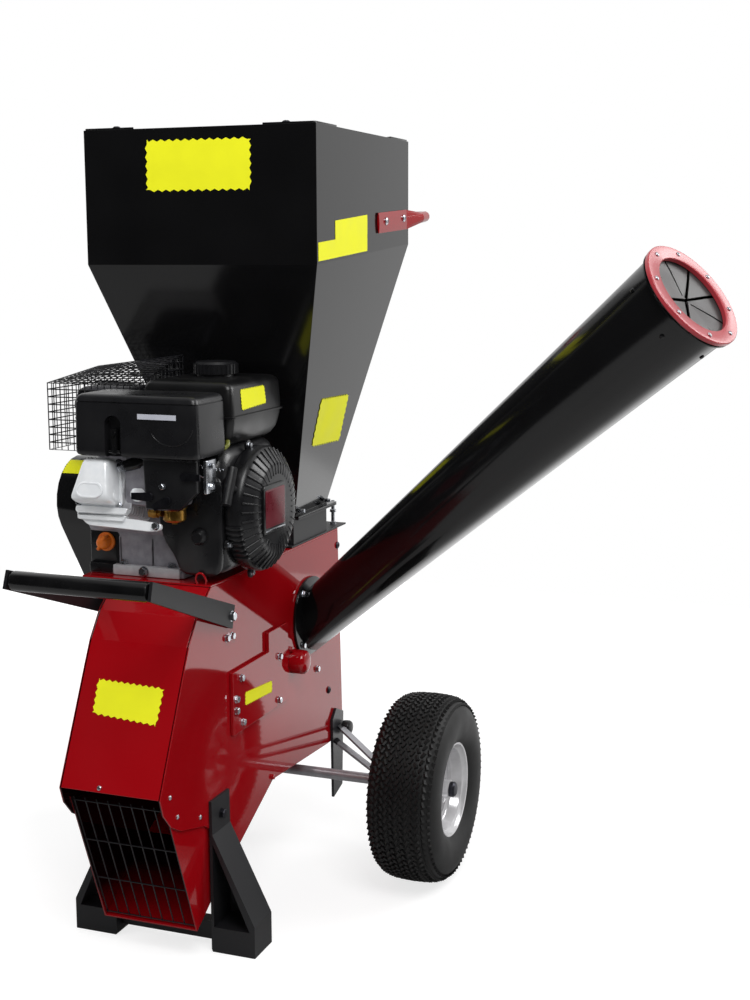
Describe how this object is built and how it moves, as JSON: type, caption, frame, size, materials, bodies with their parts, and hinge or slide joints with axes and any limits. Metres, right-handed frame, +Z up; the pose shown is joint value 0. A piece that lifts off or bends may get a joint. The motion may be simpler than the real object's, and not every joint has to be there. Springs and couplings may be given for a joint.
{
  "type": "wood chipper",
  "caption": "Petrol wood chipper and shredder on two wheels, with a top hopper, a side chipper tube, a rotor with knives and swing hammers, and a folding tow bar.",
  "frame": {"origin": "centre of the machine's overall box, on the ground", "axes": "+X towards the chipper tube, -Y towards the discharge mouth and tow bar, +Z up"},
  "size_m": [1.162, 0.9222, 1.294],
  "materials": {
    "red_paint": "gloss red paint",
    "black_paint": "gloss black paint",
    "black_plastic": "satin black plastic",
    "cast_aluminium": "cast, bead-blasted",
    "bright_steel": "zinc-plated",
    "tool_steel": "machined, oiled",
    "rubber": "matt black",
    "tyre": "matt black",
    "orange_plastic": "moulded orange",
    "grey_wire": "dark welded wire"
  },
  "bodies": {
    "machine": {"access_cover": "red_paint", "air_cleaner": "black_plastic", "axle": "bright_steel", "bearing_left": "cast_aluminium", "bearing_right": "red_paint", "belt_guard": "black_paint", "carburettor": "cast_aluminium", "chipper_tube": "black_paint", "control_panel": "black_plastic", "crankcase": "cast_aluminium", "cross_bar": "black_paint", "cylinder_head": "cast_aluminium", "deck_plate": "red_paint", "discharge_chute": "red_paint", "discharge_grille": "grey_wire", "drive_belt": "rubber", "fan_shroud": "black_plastic", "front_hood": "red_paint", "fuel_tank": "black_plastic", "hopper": "black_paint", "hopper_collar": "black_paint", "hopper_handle": "red_paint", "leg_left": "black_paint", "leg_right": "black_paint", "mouth_flap": "rubber", "mouth_ring": "red_paint", "muffler": "tool_steel", "muffler_guard": "grey_wire", "rear_bracket_left": "black_paint", "rear_bracket_right": "black_paint", "rear_sheet": "red_paint", "recoil_housing": "black_plastic", "rocker_cover": "cast_aluminium", "side_plate_left": "red_paint", "side_plate_right": "red_paint"},
    "rotor": {"rotor_shaft": "tool_steel", "knife_disc": "tool_steel", "chipper_knife_1": "bright_steel", "chipper_knife_2": "bright_steel", "hammer_carrier": "tool_steel", "rotor_pulley": "tool_steel"},
    "hammer_1": {"hammer_1": "bright_steel"},
    "hammer_2": {"hammer_2": "bright_steel"},
    "hammer_3": {"hammer_3": "bright_steel"},
    "crank": {"crankshaft": "tool_steel", "engine_pulley": "tool_steel"},
    "wheel_right": {"rim_right": "bright_steel", "tyre_right": "tyre"},
    "wheel_left": {"rim_left": "bright_steel", "tyre_left": "tyre"},
    "tow_bar": {"tow_arm_right": "black_paint", "tow_arm_left": "black_paint", "tow_grip": "black_plastic"},
    "recoil_pull": {"recoil_grip": "black_plastic"},
    "fuel_cap": {"fuel_cap": "black_plastic"},
    "throttle_lever": {"throttle_lever": "bright_steel"},
    "choke_lever": {"choke_lever": "bright_steel"},
    "fuel_valve_lever": {"fuel_valve_lever": "bright_steel"},
    "engine_switch": {"engine_switch": "black_plastic"},
    "oil_plug": {"oil_plug": "orange_plastic"}
  },
  "joints": [
    {"name": "rotor_spin", "type": "hinge", "parent": "machine", "child": "rotor", "pos_m": [-0.26748, 0.09942, 0.38996], "axis": [1, 0, 0], "continuous": true},
    {"name": "hammer_1_swing", "type": "hinge", "parent": "rotor", "child": "hammer_1", "pos_m": [-0.26748, 0.09942, 0.48996], "axis": [1, 0, 0], "continuous": true},
    {"name": "hammer_2_swing", "type": "hinge", "parent": "rotor", "child": "hammer_2", "pos_m": [-0.26748, 0.01282, 0.33996], "axis": [1, 0, 0], "continuous": true},
    {"name": "hammer_3_swing", "type": "hinge", "parent": "rotor", "child": "hammer_3", "pos_m": [-0.26748, 0.18602, 0.33996], "axis": [1, 0, 0], "continuous": true},
    {"name": "crank_spin", "type": "hinge", "parent": "machine", "child": "crank", "pos_m": [-0.26748, -0.10058, 0.69696], "axis": [1, 0, 0], "continuous": true},
    {"name": "wheel_right_spin", "type": "hinge", "parent": "machine", "child": "wheel_right", "pos_m": [0.04202, 0.16842, 0.165], "axis": [1, 0, 0], "continuous": true},
    {"name": "wheel_left_spin", "type": "hinge", "parent": "machine", "child": "wheel_left", "pos_m": [-0.51748, 0.16842, 0.165], "axis": [1, 0, 0], "continuous": true},
    {"name": "tow_bar_fold", "type": "hinge", "parent": "machine", "child": "tow_bar", "pos_m": [-0.26748, -0.15408, 0.52996], "axis": [1, 0, 0], "range_deg": [-6, 50]},
    {"name": "recoil_pull_out", "type": "slide", "parent": "machine", "child": "recoil_pull", "axis": [0, -0.9063, 0.4226], "range_m": [0, 0.6], "stiffness_N_per_m": 20, "springref_m": -0.1},
    {"name": "throttle_lever_turn", "type": "hinge", "parent": "machine", "child": "throttle_lever", "pos_m": [-0.18748, -0.27658, 0.76896], "axis": [0, 1, 0], "range_deg": [-25, 25]},
    {"name": "choke_lever_turn", "type": "hinge", "parent": "machine", "child": "choke_lever", "pos_m": [-0.24748, -0.27658, 0.73596], "axis": [0, 1, 0], "range_deg": [0, 45]},
    {"name": "fuel_valve_lever_turn", "type": "hinge", "parent": "machine", "child": "fuel_valve_lever", "pos_m": [-0.21748, -0.27658, 0.73096], "axis": [0, -1, 0], "range_deg": [0, 40]},
    {"name": "engine_switch_turn", "type": "hinge", "parent": "machine", "child": "engine_switch", "pos_m": [-0.19948, -0.20888, 0.66596], "axis": [0, -1, 0], "range_deg": [0, 60]},
    {"name": "fuel_cap_turn", "type": "hinge", "parent": "machine", "child": "fuel_cap", "pos_m": [-0.23147, -0.07958, 0.90296], "axis": [0, 0, 1], "range_deg": [0, 90]},
    {"name": "oil_plug_turn", "type": "hinge", "parent": "machine", "child": "oil_plug", "pos_m": [-0.37848, -0.17888, 0.64296], "axis": [0, -1, 0], "range_deg": [0, 720]}
  ],
  "couplings": [
    {"joint": "crank_spin", "follows": "rotor_spin", "ratio": 1.329}
  ]
}
